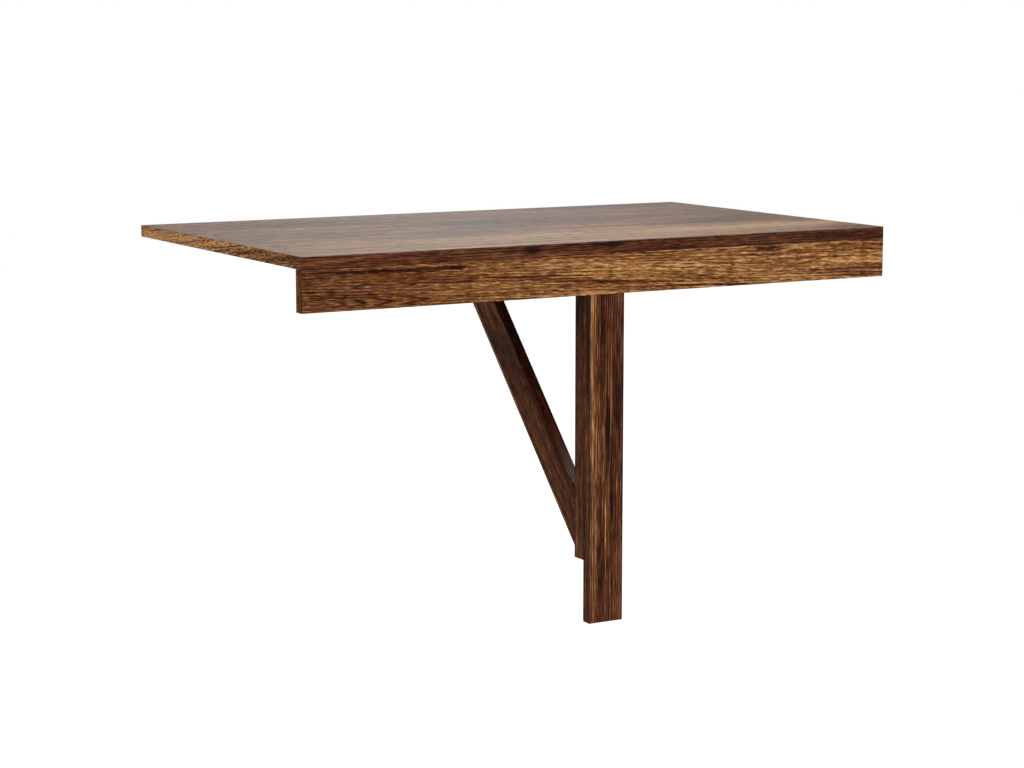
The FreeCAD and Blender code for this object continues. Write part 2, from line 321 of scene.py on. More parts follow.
@dataclass(frozen=True)
class FaceLook:
    """How the decor looks on one face.

    Attributes:
        tone: How light it is, 0 to 1.
        redness: How far it turns from golden to umber, 0 to 1.
        paleness: How far its golden turns to straw, 0 to 1.
        vigour: How much more than usual the grain's tones differ.
        bands: How much more than that the wide bands differ.
        stretch: How many times longer than usual the grain's marks are.
    """

    tone: float = 0.4
    redness: float = 0.5
    paleness: float = 0.0
    vigour: float = 0.0
    bands: float = 0.0
    stretch: float = 1.0


@dataclass(frozen=True)
class Board:
    """How the decor lies on one board.

    Attributes:
        name: The material's name.
        corner: Where the decor's coordinates start.
        along: Direction of the grain.
        across: Direction across the grain on the wide faces.
        through: Direction through the board.
        seed: Which part of the decor paper the board was cut from.
        looks: The faces that don't have the usual look.
        clouds, knots, runouts, arches: The figure that stands out.
        holes: Middles of the countersunk holes, as (along, across).
        hole_reach: How far from its middle a hole's wall can be.
        thickness: The board's.
    """

    name: str
    corner: Triple
    along: Triple
    across: Triple
    through: Triple
    seed: float
    looks: Mapping[Face, FaceLook]
    clouds: Sequence[Cloud] = ()
    knots: Sequence[Knot] = ()
    runouts: Sequence[Runout] = ()
    arches: Sequence[Arches] = ()
    holes: Sequence[Pair] = ()
    hole_reach: float = 5.2
    thickness: float = 18.0

    def axes(self) -> list[Vector]:
        """The board's own axes: along, across and through."""
        return [Vector(axis) for axis in (self.along, self.across, self.through)]

    def look(self, face: Face) -> FaceLook:
        """The look of a face."""
        return self.looks.get(face, FaceLook())


class BoardSurface:
    """Coordinates over one board, as nodes of its material.

    Attributes:
        g: The material's graph.
        board: The board.
        local: Millimetres from the board's corner, as a vector.
        spans: Millimetres along, across and through the board.
        masks: For each face 1 on it and 0 elsewhere.
        u, v: Millimetres along and across the grain, on whichever face it is.
        flat: u and v as a vector.
        cut: Which part of the decor paper this face shows.
        paper_u: Millimetres along the decor paper, which a face's stretch draws out.
    """

    LEAST_FACING = 0.8
    PAPER_STEPS = (131.0, 293.0, 417.0)

    def __init__(self, g: Graph, board: Board) -> None:
        """Adds the coordinates to a graph.

        Args:
            g: The graph.
            board: The board that they lie on.
        """
        self.g, self.board = g, board
        self.local = g.vector("SUBTRACT", g.millimetres(), board.corner)
        axes = board.axes()
        self.spans = [g.measure("DOT_PRODUCT", self.local, axis) for axis in axes]
        normal = g.add("TexCoord").outputs["Normal"]
        self.masks: dict[Face, Node] = {}
        for face in Face:
            index, sign = face.value
            facing = g.measure("DOT_PRODUCT", normal, axes[index] * sign)
            self.masks[face] = g.math("GREATER_THAN", facing, self.LEAST_FACING)
        on_end = g.math("ADD", self.masks[Face.END_START], self.masks[Face.END_FAR])
        on_side = g.math("ADD", self.masks[Face.SIDE_BACK], self.masks[Face.SIDE_FRONT])
        # Edge bands run the long way of their edge, so on an end the grain runs across.
        self.u = g.add("Mix", {0: on_end, 2: self.spans[0], 3: self.spans[1]})
        self.v = g.add("Mix", {0: on_side, 2: self.spans[2], 3: self.spans[1]})
        self.flat = g.add("CombineXYZ", {0: self.u, 1: self.v})
        paper = sum((axis * step for axis, step in zip(axes, self.PAPER_STEPS)), Vector())
        self.cut = g.math("ADD", g.measure("DOT_PRODUCT", normal, paper), board.seed)
        squeezed = self.by_face(lambda face: 1 / board.look(face).stretch)
        self.paper_u = g.math("MULTIPLY", self.u, squeezed)

    def by_face(self, value: Callable[[Face], float]) -> Any:
        """A number for each face, as one node."""
        return self.g.weighted_sum(0.0, [(self.masks[face], value(face)) for face in Face])

    def point(self, v: Any = None) -> Node:
        """The point on the decor paper, with another distance across the grain if one is given."""
        across = self.v if v is None else v
        return self.g.add("CombineXYZ", {0: self.paper_u, 1: across, 2: self.cut})

    def spot(self, oval: Oval, place: Any = None, turn: float = 0.0) -> Node:
        """A soft oval on one face.

        Args:
            oval: Where it is and how large.
            place: The face's coordinates, if they aren't just u and v.
            turn: Degrees that it is turned.

        Returns:
            A node that is 1 in the oval's middle and 0 outside it.
        """
        inputs = {
            "Vector": self.flat if place is None else place,
            "Location": (oval.u, oval.v, 0.0),
            "Rotation": (0.0, 0.0, math.radians(turn)),
            "Scale": (oval.length, oval.width, 1.0),
        }
        own = self.g.add("Mapping", inputs, vector_type="TEXTURE")
        fade = self.g.span(self.g.measure("LENGTH", own), (1.0, 0.0), smooth=True)
        return self.g.math("MULTIPLY", fade, self.masks[oval.face])


@dataclass(frozen=True)
class RusticOakMelamine:
    """Melamine-faced board with a printed rustic oak decor, pressed with a satin pore texture.

    The print gives brown figure of fine dark lines and pores; the pressed resin gives an even
    satin sheen that turns pale at grazing angles; the drilled holes show the chipboard core.
    Sizes are (along, across, slice) in millimetres. Pores are twice as wide as real ones, so
    that they show. An edge is the noise where a mark starts and where it is full. A rise or
    fall is the part of a growth ring over which the latewood comes or goes.
    """

    golden: Sequence[str] = ("1e0702", "562500", "79491a", "9b6836", "dba566")
    umber: Sequence[str] = ("1d0702", "4c210a", "6f3d21", "8f5c3b", "b3815a")
    straw: Sequence[str] = ("200a04", "4b2b12", "72502c", "95724a", "bd9d70")
    core: Sequence[str] = ("7d5d3a", "b8935f", "d9bd8c")
    chips_per_mm: float = 0.6
    base_tone: float = 0.13
    detail: float = 3.0
    crispness: float = 0.6
    bend: Triple = (260.0, 60.0, 1.0)
    bend_reach: float = 12.0
    wobble: Triple = (34.0, 8.0, 1.0)
    wobble_reach: float = 1.6
    stir_reach: Triple = (30.0, 3.0, 0.0)
    stir_break: Pair = (0.3, 1.7)
    ring_spacing: float = 3.6
    ring_drift: Triple = (90.0, 4.0, 1.0)
    ring_drift_reach: float = 0.9
    ring_rise: Pair = (0.3, 0.88)
    ring_fall: Pair = (0.9, 1.0)
    ring_patch: Triple = (110.0, 12.0, 1.0)
    ring_patch_edge: Pair = (0.35, 0.65)
    ring_firmness: Pair = (0.1, 1.3)
    arch_start: float = 0.05
    arch_shift: float = 0.5
    arch_round: float = 1.0
    arch_drift_reach: float = 0.4
    arch_rise: Pair = (0.5, 0.88)
    arch_firmness: float = 1.45
    arch_cover: float = 1.8
    patch: Triple = (240.0, 14.0, 1.0)
    patch_weight: float = 0.7
    streak: Triple = (120.0, 2.2, 1.0)
    streak_weight: float = 1.5
    ripple: Triple = (13.0, 1.5, 1.0)
    ripple_weight: float = 1.6
    pore: Triple = (12.0, 0.9, 1.0)
    pore_edge: Pair = (0.53, 0.62)
    pore_weight: float = -0.5
    fleck: Triple = (10.0, 1.1, 1.0)
    fleck_edge: Pair = (0.54, 0.66)
    fleck_shift: Triple = (57.0, 31.0, 7.0)
    fleck_weight: float = 0.36
    latewood_weight: float = -0.4
    hue_patch: Triple = (200.0, 16.0, 1.0)
    hue_patch_weight: float = 1.6
    hue_mottle: Triple = (22.0, 4.0, 1.0)
    hue_mottle_weight: float = 1.4
    light_hue: float = -1.0
    roughness: float = 0.4
    pore_roughness: float = 0.18
    streak_roughness: float = 0.25
    emboss: float = 0.06
    emboss_strength: float = 0.6
    latewood_relief: float = 0.35
    resin_ior: float = 1.5
    sheen: float = 0.3
    skin: float = 0.5

    def material(self, board: Board) -> Material:
        """Builds the decor for one board and returns its material."""
        return OakDecor(self, board).material()


class OakDecor(BoardSurface):
    """The rustic oak decor over one board, as nodes of its material.

    Attributes:
        how: The decor's values.
        wobble: Noise of the fine waves.
        line: Millimetres across the grain, bent as the grain is.
        place: The point on the decor paper, bent as the grain is.
        streak: Noise of the long streaks.
        pores: Open pores, 1 where they are.
        late: Latewood lines, about 1 in a line and a little more in an arch.
        figure: The change of tone in patches of lighter and darker wood.
    """

    def __init__(self, how: RusticOakMelamine, board: Board) -> None:
        """Adds the grain to a new material.

        Args:
            how: The decor's values.
            board: The board that it lies on.
        """
        super().__init__(Graph.of_material(board.name), board)
        self.how = how
        self.wobble = self.g.stretched_noise(self.point(), how.wobble, how.detail)
        self.line = self._grain_line()
        self.place = self.point(self.line)
        self.streak = self._fine_noise(self.place, how.streak)
        self.pores = self.g.span(self._fine_noise(self.place, how.pore), how.pore_edge)
        self.late = self._growth_rings()
        self.figure = self._figure()

    def _fine_noise(self, place: Any, size: Triple) -> Node:
        """Noise for the grain's fine marks."""
        return self.g.stretched_noise(place, size, self.how.detail, self.how.crispness)

    def _grain_line(self) -> Node:
        """Bends the grain gently all over, round the knots and down the runouts.

        Returns:
            The distance across the grain in millimetres.
        """
        g, how = self.g, self.how
        bend = g.stretched_noise(self.point(), how.bend)
        drift = g.varied(0.0, [(bend, how.bend_reach), (self.wobble, how.wobble_reach)])
        line = g.math("ADD", self.v, drift)
        for knot in self.board.knots:
            offset = g.math("SUBTRACT", line, knot.v)
            parted = g.math("MULTIPLY", offset, self.spot(knot))
            line = g.weighted_sum(line, [(parted, -knot.pull)])
        for runout in self.board.runouts:
            slope = g.span(self.v, (0.0, runout.height), (runout.low, runout.high))
            fall = g.math("MULTIPLY", self.u, slope)
            line = g.math("MULTIPLY_ADD", fall, self.masks[runout.face], line)
        return line

    def _latewood(self, rings: Any, rise: Pair) -> Node:
        """Draws dark latewood lines, slow to rise and quick to fall, one to each ring.

        Args:
            rings: How many rings lie between here and the start.
            rise: The part of a ring over which its line rises.

        Returns:
            A node that is 1 in a line.
        """
        phase = self.g.math("FRACT", rings)
        rising = self.g.span(phase, rise, smooth=True)
        return self.g.math("MULTIPLY", rising, self.g.span(phase, self.how.ring_fall, (1.0, 0.0)))

    def _growth_rings(self) -> Node:
        """Draws latewood along the grain, pointed where the cut meets the rings at a low angle.

        Returns:
            A node that is about 1 in a line, and a little more in an arch.
        """
        g, how = self.g, self.how
        uneven = g.stretched_noise(self.place, how.ring_drift)
        terms = [(self.line, 1 / how.ring_spacing), (uneven, how.ring_drift_reach)]
        late = self._latewood(g.weighted_sum(0.0, terms), how.ring_rise)
        patchy = g.stretched_noise(self.place, how.ring_patch)
        late = g.math("MULTIPLY", late, g.span(patchy, how.ring_patch_edge, how.ring_firmness))
        for arches in self.board.arches:
            # In a run whose gaps grow evenly, the arch's number is a logarithm of its place.
            scale = (arches.growth - 1) / arches.first_gap
            place = g.weighted_sum(1 - arches.first_tip * scale, [(self.u, scale)])
            number = g.math("LOGARITHM", g.math("MAXIMUM", place, how.arch_start), arches.growth)
            level = g.varied(-arches.v, [(self.wobble, how.wobble_reach)])
            level = g.math("ADD", self.v, level)
            apart = g.math("SQRT", g.math("MULTIPLY_ADD", level, level, how.arch_round))
            terms = [(number, 1.0), (apart, 1 / arches.arm), (uneven, how.arch_drift_reach)]
            tips = self._latewood(g.weighted_sum(how.arch_shift, terms), how.arch_rise)
            tips = g.math("MULTIPLY", tips, how.arch_firmness)
            there = g.math("MULTIPLY", self.spot(arches), how.arch_cover, use_clamp=True)
            late = g.add("Mix", {0: there, 2: late, 3: tips})
        return late

    def _figure(self) -> Node:
        """Lays the board's clouds, drawn out by the waves and broken by the streaks.

        Returns:
            A node with the change of tone.
        """
        g, how = self.g, self.how
        stir = g.vector("SUBTRACT", self.wobble.outputs["Color"], (NOISE_MIDDLE,) * 3)
        place = g.vector("MULTIPLY_ADD", stir, how.stir_reach, self.flat)
        terms = [(self.spot(cloud, place, cloud.turn), cloud.tone) for cloud in self.board.clouds]
        broken = g.span(self.streak, NOISE_REACH, how.stir_break)
        return g.math("MULTIPLY", g.weighted_sum(0.0, terms), broken)

    def _tone(self) -> Node:
        """Adds up how light the print is.

        Returns:
            A node that is 0 for the decor's darkest colour and 1 for its lightest.
        """
        g, how, look = self.g, self.how, self.board.look
        ripple = self._fine_noise(self.place, how.ripple)
        fine = [(self.streak, how.streak_weight), (ripple, how.ripple_weight)]
        patch = g.varied(0.0, [(g.stretched_noise(self.place, how.patch), 1.0)])
        bands = self.by_face(lambda face: how.patch_weight * (1 + look(face).bands))
        spread = g.math("MULTIPLY_ADD", patch, bands, g.varied(0.0, fine))
        vigour = self.by_face(lambda face: 1 + look(face).vigour)
        level = self.by_face(lambda face: how.base_tone + look(face).tone)
        elsewhere = g.vector("ADD", self.place, how.fleck_shift)
        flecks = g.span(self._fine_noise(elsewhere, how.fleck), how.fleck_edge)
        marks = [
            (self.late, how.latewood_weight),
            (self.pores, how.pore_weight),
            (flecks, how.fleck_weight),
            (self.figure, 1.0),
        ]
        return g.weighted_sum(g.math("MULTIPLY_ADD", spread, vigour, level), marks)

    def _print(self) -> NodeSocket:
        """Colours the print.

        Returns:
            The colour, between golden, straw and umber.
        """
        g, how, look = self.g, self.how, self.board.look
        tone = self._tone()
        hues = [
            (g.stretched_noise(self.place, how.hue_patch), how.hue_patch_weight),
            (g.stretched_noise(self.place, how.hue_mottle), how.hue_mottle_weight),
            (self.figure, how.light_hue),
        ]
        middle = NOISE_MIDDLE * (how.hue_patch_weight + how.hue_mottle_weight)
        usual = self.by_face(lambda face: look(face).redness - middle)
        redness = g.math("ADD", g.weighted_sum(usual, hues), 0.0, use_clamp=True)
        pale = self.by_face(lambda face: look(face).paleness)
        light = g.mix_colours(pale, g.ramp(tone, how.golden), g.ramp(tone, how.straw))
        return g.mix_colours(redness, light, g.ramp(tone, how.umber))

    def _drilled(self, colour: Any) -> NodeSocket:
        """Shows the chipboard core inside the board's countersunk holes.

        Args:
            colour: The decor's colour.

        Returns:
            The colour with the core in it.
        """
        g, how, board, depth = self.g, self.how, self.board, self.spans[2]
        chips = g.add("TexVoronoi", {"Vector": self.local, "Scale": how.chips_per_mm})
        core = g.ramp(g.add("SeparateColor", {0: chips.outputs["Color"]}), how.core)
        flat = g.add("CombineXYZ", {0: self.spans[0], 1: self.spans[1]})
        nearest: Any = board.hole_reach
        for along, across in board.holes:
            distance = g.measure("DISTANCE", flat, (along, across, 0.0))
            nearest = g.math("MINIMUM", distance, nearest)
        near = g.math("LESS_THAN", nearest, board.hole_reach)
        under = g.math("LESS_THAN", depth, board.thickness - how.skin)
        inner = g.math("MULTIPLY", under, g.math("GREATER_THAN", depth, how.skin))
        return g.mix_colours(g.math("MULTIPLY", near, inner), colour, core)

    def material(self) -> Material:
        """Gives the print its sheen and its pressed pores.

        Returns:
            The material.
        """
        g, how = self.g, self.how
        colour = self._print()
        if self.board.holes:
            colour = self._drilled(colour)
        uneven = [(self.pores, how.pore_roughness), (self.streak, how.streak_roughness)]
        smoothest = how.roughness - how.streak_roughness * NOISE_MIDDLE
        relief = g.weighted_sum(0.0, [(self.pores, -1.0), (self.late, -how.latewood_relief)])
        inputs = {
            "Base Color": colour,
            "Roughness": g.weighted_sum(smoothest, uneven),
            "Normal": g.bump(relief, how.emboss, how.emboss_strength),
            "IOR": how.resin_ior,
            "Specular IOR Level": how.sheen,
        }
        return g.surface(inputs)


@dataclass(frozen=True)
class ZincPlatedSteel:
    """Mild steel, pressed to shape and zinc plated: a cool bright grey with a faint cloud."""

    name: str = "zinc_plated_steel"
    colours: Sequence[str] = ("a9adb2", "c3c7ca", "d6d8d8")
    cloud: Triple = (9.0, 9.0, 9.0)
    cloud_detail: float = 4.0
    cloud_roughness: float = 0.22
    scratch: Triple = (6.0, 0.5, 0.5)
    scratch_roughness: float = 0.1
    scratch_depth: float = 0.02
    scratch_strength: float = 0.25
    roughness: float = 0.32

    def material(self) -> Material:
        """Builds the finish.

        Returns:
            The material.
        """
        g = Graph.of_material(self.name)
        local = g.millimetres()
        cloud = g.stretched_noise(local, self.cloud, self.cloud_detail)
        scratch = g.stretched_noise(local, self.scratch)
        uneven = [(cloud, self.cloud_roughness), (scratch, self.scratch_roughness)]
        inputs = {
            "Base Color": g.ramp(g.span(cloud, NOISE_REACH), self.colours),
            "Metallic": 1.0,
            "Roughness": g.varied(self.roughness, uneven),
            "Normal": g.bump(scratch, self.scratch_depth, self.scratch_strength),
        }
        return g.surface(inputs)


@dataclass(frozen=True)
class GrainedFinish:
    """A finish whose colour, sheen and relief follow one grain.

    Attributes:
        name: The material's name.
        grain: Length of a grain along X, Y and Z.
        colours: From the darkest part of the grain to the lightest.
        edge: Where the noise of the grain is darkest and lightest.
        detail, crispness: Octaves of finer noise and their weight.
        depth, strength: Of the relief.
        roughness, unevenness: The mean, and how far it varies with the grain.
        metallic, ior: What it is made of.
    """

    name: str
    grain: Triple
    colours: Sequence[str]
    edge: Pair = (0.0, 1.0)
    detail: float = 2.0
    crispness: float = 0.5
    depth: float = 0.05
    strength: float = 0.0
    roughness: float = 0.5
    unevenness: float = 0.0
    metallic: float = 0.0
    ior: float = 1.5

    def material(self) -> Material:
        """Builds the finish.

        Returns:
            The material.
        """
        g = Graph.of_material(self.name)
        grain = g.stretched_noise(g.millimetres(), self.grain, self.detail, self.crispness)
        uneven = [(grain, self.unevenness)] if self.unevenness else []
        inputs = {
            "Base Color": g.ramp(g.span(grain, self.edge), self.colours),
            "Metallic": self.metallic,
            "Roughness": g.varied(self.roughness, uneven),
            "IOR": self.ior,
        }
        if self.strength:
            inputs["Normal"] = g.bump(grain, self.depth, self.strength)
        return g.surface(inputs)


@dataclass(frozen=True)
class DrawnSteel(GrainedFinish):
    """Bright steel wire, drawn through a die: fine lines along the wire and clear highlights."""

    name: str = "drawn_steel"
    grain: Triple = (0.4, 0.4, 20.0)
    colours: Sequence[str] = ("b4b4b2", "dcdcd8")
    roughness: float = 0.18
    unevenness: float = 0.16
    metallic: float = 1.0


@dataclass(frozen=True)
class MouldedNylon(GrainedFinish):
    """Nylon, injection moulded in a spark-eroded tool: dark brown with a fine matt grain."""

    name: str = "moulded_nylon"
    grain: Triple = (0.6, 0.6, 0.6)
    colours: Sequence[str] = ("22150f", "33221a")
    strength: float = 0.3
    unevenness: float = 0.12
    ior: float = 1.53


@dataclass(frozen=True)
class TurnedBeech(GrainedFinish):
    """Beech rod, planed round and left bare: pale pinkish tan with short darker ray flecks."""

    colours: Sequence[str] = ("a87f55", "c9a377", "d9b88f")
    edge: Pair = (0.3, 0.65)
    detail: float = 3.0
    crispness: float = 0.6
    strength: float = 0.4
    roughness: float = 0.62


def in_mm(node: str) -> tuple[Vector, Vector]:
    """The lowest and highest corner of a CAD node, in millimetres."""
    low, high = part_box(node)
    return low / MM, high / MM


def to_mesh(bm: bmesh.types.BMesh, name: str) -> Mesh:
    """Turns a bmesh into a mesh and frees the bmesh.

    Args:
        bm: The bmesh.
        name: The mesh's name.

    Returns:
        The mesh.
    """
    mesh = bpy.data.meshes.new(name)
    bm.to_mesh(mesh)
    bm.free()
    return mesh


def put(name: str, data: ID) -> Object:
    """Puts a new object in the scene.

    Args:
        name: Its name.
        data: Its mesh, lamp or camera.

    Returns:
        The object.
    """
    obj = bpy.data.objects.new(name, data)
    bpy.context.scene.collection.objects.link(obj)
    return obj


def aim(obj: Object, place: Triple, view: Vector) -> None:
    """Stands a lamp or the camera somewhere and points it.

    Args:
        obj: The lamp or camera.
        place: Where it stands, in metres.
        view: The direction in which it looks.
    """
    obj.location = place
    obj.rotation_mode = "QUATERNION"
    obj.rotation_quaternion = view.to_track_quat("-Z", "Y")


@dataclass
class Assembly:
    """A part of the table; nodes are all the CAD nodes by name."""

    nodes: Mapping[str, Object]
    decor: RusticOakMelamine = RusticOakMelamine()

    def dress(self, material: Material, *names: str) -> None:
        """Gives CAD nodes their finish.

        Args:
            material: The finish.
            names: The nodes to dress.
        """
        for name in names:
            for slot in self.nodes[name].material_slots:
                slot.material = material
            LOG.info("dressed %s in %s", name, material.name)


@dataclass
class TableTop(Assembly):
    """The fixed strip and the leaf: one panel of decor, cut in two at the hinge line."""

    def board(self) -> Board:
        """Lays the decor over both pieces, along the wall.

        Returns:
            The two pieces as one board.
        """
        near, left, top = Face.EDGE_LOW, Face.END_START, Face.SIDE_FRONT
        near_clouds = clouds_on(
            near,
            (75, 6, 120, 1.5, -0.3, 3), (120, 10.5, 130, 1.5, -0.3, 3),
            (50, 13, 90, 1.3, -0.25, 2.5), (60, 9, 160, 16, 0.1), (213, 1.2, 22, 2, -0.6),
            (295, 8, 70, 7, 0.12), (367, 9, 26, 9, -0.4), (490, 14, 45, 6, -0.3),
            (560, 9, 200, 14, -0.2), (770, 8, 130, 14, -0.1), (900, 9, 120, 11, -0.25),
            (990, 9, 110, 30, -0.12),
        )
        left_clouds = clouds_on(left, (90, 9, 260, 40, -0.44), (0, 9, 80, 40, -0.25))
        top_clouds = clouds_on(
            top,
            (440, 60, 800, 190, 0.28), (850, 112, 340, 66, 0.55), (690, 140, 150, 40, 0.2),
            (970, 28, 100, 45, -0.2), (480, 140, 170, 60, 0.18), (840, 245, 190, 80, -0.22),
            (940, 330, 120, 160, -0.1), (500, 400, 260, 200, -0.14), (460, 375, 220, 70, -0.16),
            (210, 470, 240, 60, -0.2), (90, 250, 60, 14, 0.35), (260, 235, 70, 14, 0.35),
            (350, 300, 60, 12, 0.4), (180, 400, 90, 16, 0.25), (480, 440, 110, 16, 0.3),
            (860, 560, 260, 60, -0.25),
        )
        return Board(
            name="rustic_oak_melamine_top",
            corner=tuple(in_mm("fixed_shelf")[0]),
            along=X_AXIS,
            across=Y_AXIS,
            through=Z_AXIS,
            seed=3.0,
            looks={
                near: FaceLook(0.3, 1.0, vigour=-0.35, stretch=2.0),
                left: FaceLook(0.92, 0.0, vigour=1.0),
                top: FaceLook(0.32, 0.1, paleness=0.8, vigour=0.45, bands=0.4, stretch=2.0),
                Face.SIDE_BACK: FaceLook(0.42, 0.4, bands=0.6, stretch=2.0),
                Face.EDGE_HIGH: FaceLook(0.4, 0.6),
                Face.END_FAR: FaceLook(0.6, 0.1),
            },
            clouds=near_clouds + left_clouds + top_clouds,
            runouts=(Runout(left, 18.0, 0.12, 0.12),),
            arches=(
                Arches(top, 430.0, 318.0, 430.0, 80.0, 40.0, 34.0, 1.09, 8.5),
                Arches(top, 620.0, 520.0, 380.0, 62.0, 960.0, -30.0, 1.1, 8.0),
            ),
        )

    def build(self) -> None:
        """Dresses the strip and the leaf."""
        self.dress(self.decor.material(self.board()), "fixed_shelf", "drop_leaf")


@dataclass
class WallFrame(Assembly):
    """The rail and the post that are screwed to the wall, and their dowels."""

    dowel: TurnedBeech = TurnedBeech("turned_beech_upright", (0.7, 0.7, 9.0))
    rail_hole_inset: float = 50.0
    rail_holes: int = 4
    post_hole_top: float = 140.0
    post_holes: int = 2
    hole_pitch: float = 300.0

    def rail(self) -> Board:
        """Lays the decor on the rail: golden to the right, with arches low on the left.

        Returns:
            The rail's board.
        """
        low, high = in_mm("wall_rail")
        wall = Face.SIDE_BACK
        middle = (high.z - low.z) / 2
        starts = [self.rail_hole_inset + i * self.hole_pitch for i in range(self.rail_holes)]
        return Board(
            name="rustic_oak_melamine_rail",
            corner=tuple(low),
            along=X_AXIS,
            across=Z_AXIS,
            through=Y_AXIS,
            seed=17.0,
            looks={
                wall: FaceLook(0.62, 0.05, stretch=1.5),
                Face.END_START: FaceLook(0.36, 0.8),
                Face.SIDE_FRONT: FaceLook(0.5, 0.5, stretch=1.5),
            },
            clouds=clouds_on(
                wall,
                (30, 34, 520, 90, -0.3), (145, 57.5, 150, 2.8, 0.4),
                (115, 52.8, 190, 3.4, -0.5, -1), (242, 51.5, 28, 2.8, -0.8),
                (333, 33, 130, 2.4, -0.3, -4), (449, 21.7, 150, 3, -0.35, -3.5),
                (545, 15.5, 170, 3.4, -0.35, -2.5), (650, 5, 210, 2.6, -0.55, -1.5),
                (600, 11, 140, 3, 0.25, -2.5), (782, 55, 45, 7, -0.5), (835, 56, 45, 5, 0.3),
                (950, 16, 140, 10, -0.3), (965, 6, 100, 4, -0.4),
            ),
            knots=(Knot(wall, 242.0, 51.5, 70.0, 14.0, 0.6),),
            runouts=(Runout(wall, 60.0, 0.038, 0.012),),
            arches=(Arches(wall, 125.0, 10.0, 125.0, 9.0, 64.0, 32.0, 1.3, 7.6),),
            holes=[(start, middle) for start in starts],
        )

    def post(self) -> Board:
        """Lays the decor on the post: dark, with a paler streak down its left.

        Returns:
            The post's board.
        """
        low, high = in_mm("wall_post")
        wall, left = Face.SIDE_BACK, Face.EDGE_LOW
        middle = (high.x - low.x) / 2
        first = high.z - low.z - self.post_hole_top
        wall_clouds = clouds_on(
            wall,
            (300, 4, 540, 16, 0.3), (330, 54, 420, 24, -0.14), (293, 31, 75, 5.5, -0.55),
            (325, 36.5, 100, 2.2, 0.42), (262, 24.5, 120, 2, 0.4), (150, 28, 75, 2.2, 0.5),
            (338, 48, 70, 9, -0.3), (430, 21, 45, 6, -0.15), (185, 38, 60, 6, -0.3),
            (80, 19, 90, 9, -0.22), (60, 42, 120, 14, 0.06), (185, 6, 90, 18, -0.14),
        )
        return Board(
            name="rustic_oak_melamine_post",
            corner=tuple(low),
            along=Z_AXIS,
            across=X_AXIS,
            through=Y_AXIS,
            seed=29.0,
            looks={
                wall: FaceLook(0.28, 0.75, stretch=3.0),
                left: FaceLook(0.24, 0.8, stretch=2.0),
                Face.SIDE_FRONT: FaceLook(0.45, 0.6, stretch=2.0),
                Face.EDGE_HIGH: FaceLook(0.4, 0.7, stretch=2.0),
            },
            clouds=wall_clouds + clouds_on(left, (430, 9, 170, 40, -0.12), (30, 9, 140, 40, 0.04)),
            holes=[(first - i * self.hole_pitch, middle) for i in range(self.post_holes)],
        )

    def build(self) -> None:
        """Dresses the rail, the post and the dowels."""
        self.dress(self.decor.material(self.rail()), "wall_rail")
        self.dress(self.decor.material(self.post()), "wall_post")
        self.dress(self.dowel.material(), "shelf_dowels", "post_dowels")


@dataclass
class GateBracket(Assembly):
    """The swinging bracket: upright, level arm, slanted brace, glide and dowels."""

    glide: MouldedNylon = MouldedNylon()
    dowel: TurnedBeech = TurnedBeech("turned_beech_level", (0.7, 9.0, 0.7))
    brace_angle: float = 46.6
    tone: float = 0.36
    redness: float = 0.8
    stretch: float = 2.5

    def member(
        self,
        node: str,
        slope: float,
        seed: float,
        tones: Mapping[Face, float],
        *clouds: Sequence[float],
    ) -> Board:
        """Lays the decor on one member.

        Args:
            node: The CAD node.
            slope: Degrees that the grain rises from level.
            seed: Which part of the paper it was cut from.
            tones: How light its faces are, where that isn't the usual; the brace's upper narrow
                face is darkened as painted shade.
            clouds: The rows of the clouds on its side to -X.

        Returns:
            The board.
        """
        turn = math.radians(slope)
        usual = FaceLook(self.tone, self.redness, stretch=self.stretch)
        looks = {face: replace(usual, tone=tones.get(face, self.tone)) for face in Face}
        return Board(
            name=f"rustic_oak_melamine_{node}",
            corner=tuple(in_mm(node)[0]),
            along=(0.0, math.cos(turn), math.sin(turn)),
            across=(0.0, -math.sin(turn), math.cos(turn)),
            through=X_AXIS,
            seed=seed,
            looks=looks,
            clouds=clouds_on(Face.SIDE_BACK, *clouds),
        )

    def boards(self) -> dict[str, Board]:
        """Lays the decor on the three members.

        Returns:
            Their boards, by node.
        """
        side, inner = Face.SIDE_BACK, Face.EDGE_HIGH
        upright = ((60, 0, 180, 120, 0.2), (420, 0, 200, 120, -0.3))
        # The second brace cloud, a thin light strip along the lower edge, is a painted highlight.
        brace = ((480, 32, 180, 44, 0.3), (300, 2.5, 420, 5, 0.35), (270, 30, 180, 60, 0.06))
        members: Mapping[str, Sequence[Any]] = {
            "bracket_upright": (90.0, 41.0, {side: 0.2}, *upright),
            "bracket_arm": (0.0, 53.0, {}),
            # The brace's upper narrow face (inner) gets a tone far below the usual: painted shade
            # from the table top over it.
            "bracket_brace": (self.brace_angle, 67.0, {side: 0.23, inner: -0.1}, *brace),
        }
        return {node: self.member(node, *how) for node, how in members.items()}

    def build(self) -> None:
        """Dresses the three members, the glide and the dowels."""
        for node, board in self.boards().items():
            self.dress(self.decor.material(board), node)
        self.dress(self.glide.material(), "arm_glide")
        self.dress(self.dowel.material(), "bracket_dowels")


